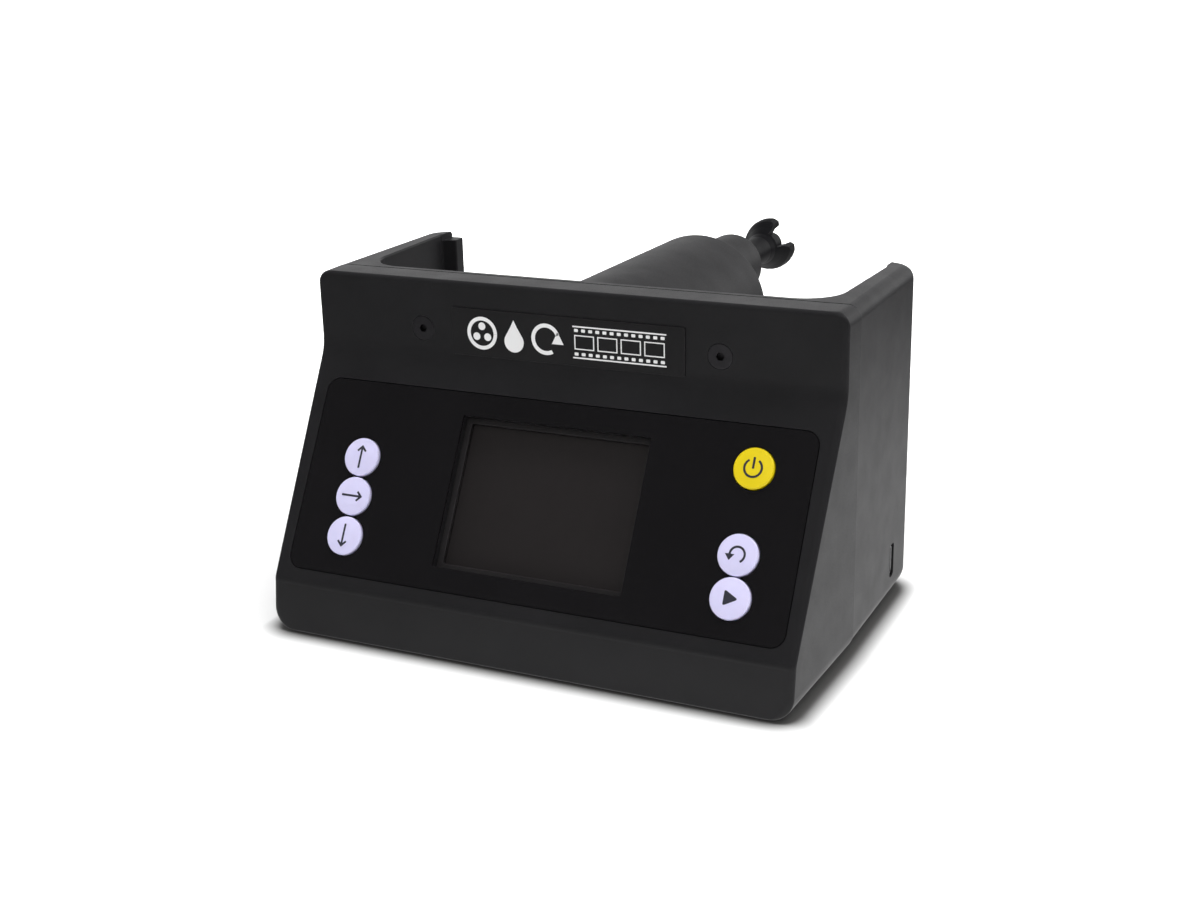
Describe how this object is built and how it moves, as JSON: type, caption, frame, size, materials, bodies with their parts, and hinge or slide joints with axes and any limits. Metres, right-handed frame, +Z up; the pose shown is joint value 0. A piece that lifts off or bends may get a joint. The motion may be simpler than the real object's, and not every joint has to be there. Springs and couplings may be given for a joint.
{
  "type": "rotary film processor",
  "caption": "Bench-top film developing agitator: a sloping control box with two wings that flank a tank, and a motor-driven lobed coupling that turns its reels.",
  "frame": {"origin": "under the middle of the whole object, on its centre line, at the level the rubber feet stand on", "axes": "+Z up, +X to the operator's right when facing the control panel, +Y away from the operator, along the drive shaft towards the tank"},
  "size_m": [0.165, 0.2088, 0.101],
  "materials": {
    "case_plastic": "fine-grained satin moulded plastic",
    "housing_plastic": "fine matte moulded plastic",
    "badge_plastic": "smooth satin plate with pale printed marks",
    "panel_gloss": "glossy printed overlay",
    "display_trim": "smooth matte",
    "display_glass": "dark display glass, switched off",
    "circuit_board": "green solder mask",
    "key_cap": "satin pale lavender white cap with a printed symbol",
    "power_cap": "satin yellow cap with a printed symbol",
    "component_black": "moulded black",
    "rubber": "matte black rubber",
    "black_screw": "black oxide",
    "steel": "machined",
    "brass": "machined",
    "battery_wrap": "shrink wrap",
    "red_cable": "insulation",
    "black_cable": "insulation"
  },
  "bodies": {
    "case": {"badge_plate": "badge_plastic", "base_plate": "case_plastic", "base_screw_front_left": "steel", "base_screw_front_right": "steel", "base_screw_rear_left": "steel", "base_screw_rear_right": "steel", "battery_cable": "black_cable", "battery_pack": "battery_wrap", "bearing_nose": "housing_plastic", "board_screw_left": "steel", "board_screw_right": "steel", "buzzer": "component_black", "charge_board": "circuit_board", "control_board": "circuit_board", "controller_chip": "component_black", "display_bezel": "display_trim", "display_board": "circuit_board", "display_glass": "display_glass", "foot_front_left": "rubber", "foot_front_right": "rubber", "foot_rear_left": "rubber", "foot_rear_right": "rubber", "front_screw_left": "black_screw", "front_screw_right": "black_screw", "front_shell": "case_plastic", "gear_pin_a": "steel", "gear_pin_b": "steel", "gearbox_case": "steel", "housing_screw_1": "steel", "housing_screw_2": "steel", "housing_screw_3": "steel", "motor_cable": "red_cable", "motor_can": "steel", "motor_housing": "housing_plastic", "motor_screw_1": "black_screw", "motor_screw_2": "black_screw", "motor_screw_3": "black_screw", "nose_bush": "brass", "panel_overlay": "panel_gloss", "rear_shell": "case_plastic", "shaft_seal": "rubber", "switch_back": "component_black", "switch_down": "component_black", "switch_power": "component_black", "switch_select": "component_black", "switch_start": "component_black", "switch_up": "component_black", "usb_socket": "steel"},
    "drive": {"output_gear": "brass", "output_shaft": "steel", "crown_coupling": "housing_plastic"},
    "motor_rotor": {"motor_pinion": "steel"},
    "cluster_a": {"gear_cluster_a": "brass"},
    "cluster_b": {"gear_cluster_b": "brass"},
    "key_up": {"button_up": "key_cap"},
    "key_select": {"button_select": "key_cap"},
    "key_down": {"button_down": "key_cap"},
    "key_power": {"button_power": "power_cap"},
    "key_back": {"button_back": "key_cap"},
    "key_start": {"button_start": "key_cap"}
  },
  "joints": [
    {"name": "drive_spin", "type": "hinge", "parent": "case", "child": "drive", "pos_m": [0, 0.03205, 0.082], "axis": [0, 1, 0], "continuous": true},
    {"name": "cluster_b_spin", "type": "hinge", "parent": "case", "child": "cluster_b", "pos_m": [0.00912, 0.01205, 0.0768], "axis": [0, 1, 0], "continuous": true},
    {"name": "cluster_a_spin", "type": "hinge", "parent": "case", "child": "cluster_a", "pos_m": [0.0061, 0.00705, 0.06811], "axis": [0, 1, 0], "continuous": true},
    {"name": "motor_spin", "type": "hinge", "parent": "case", "child": "motor_rotor", "pos_m": [0, 0.00205, 0.075], "axis": [0, 1, 0], "continuous": true},
    {"name": "press_up", "type": "slide", "parent": "case", "child": "key_up", "axis": [0, 0.866, -0.5], "range_m": [0, 0.0008], "stiffness_N_per_m": 80},
    {"name": "press_select", "type": "slide", "parent": "case", "child": "key_select", "axis": [0, 0.866, -0.5], "range_m": [0, 0.0008], "stiffness_N_per_m": 80},
    {"name": "press_down", "type": "slide", "parent": "case", "child": "key_down", "axis": [0, 0.866, -0.5], "range_m": [0, 0.0008], "stiffness_N_per_m": 80},
    {"name": "press_power", "type": "slide", "parent": "case", "child": "key_power", "axis": [0, 0.866, -0.5], "range_m": [0, 0.0008], "stiffness_N_per_m": 80},
    {"name": "press_back", "type": "slide", "parent": "case", "child": "key_back", "axis": [0, 0.866, -0.5], "range_m": [0, 0.0008], "stiffness_N_per_m": 80},
    {"name": "press_start", "type": "slide", "parent": "case", "child": "key_start", "axis": [0, 0.866, -0.5], "range_m": [0, 0.0008], "stiffness_N_per_m": 80}
  ],
  "couplings": [
    {"joint": "cluster_b_spin", "follows": "drive_spin", "ratio": -3.2},
    {"joint": "cluster_a_spin", "follows": "drive_spin", "ratio": 9.0667},
    {"joint": "motor_spin", "follows": "drive_spin", "ratio": -25.689}
  ]
}
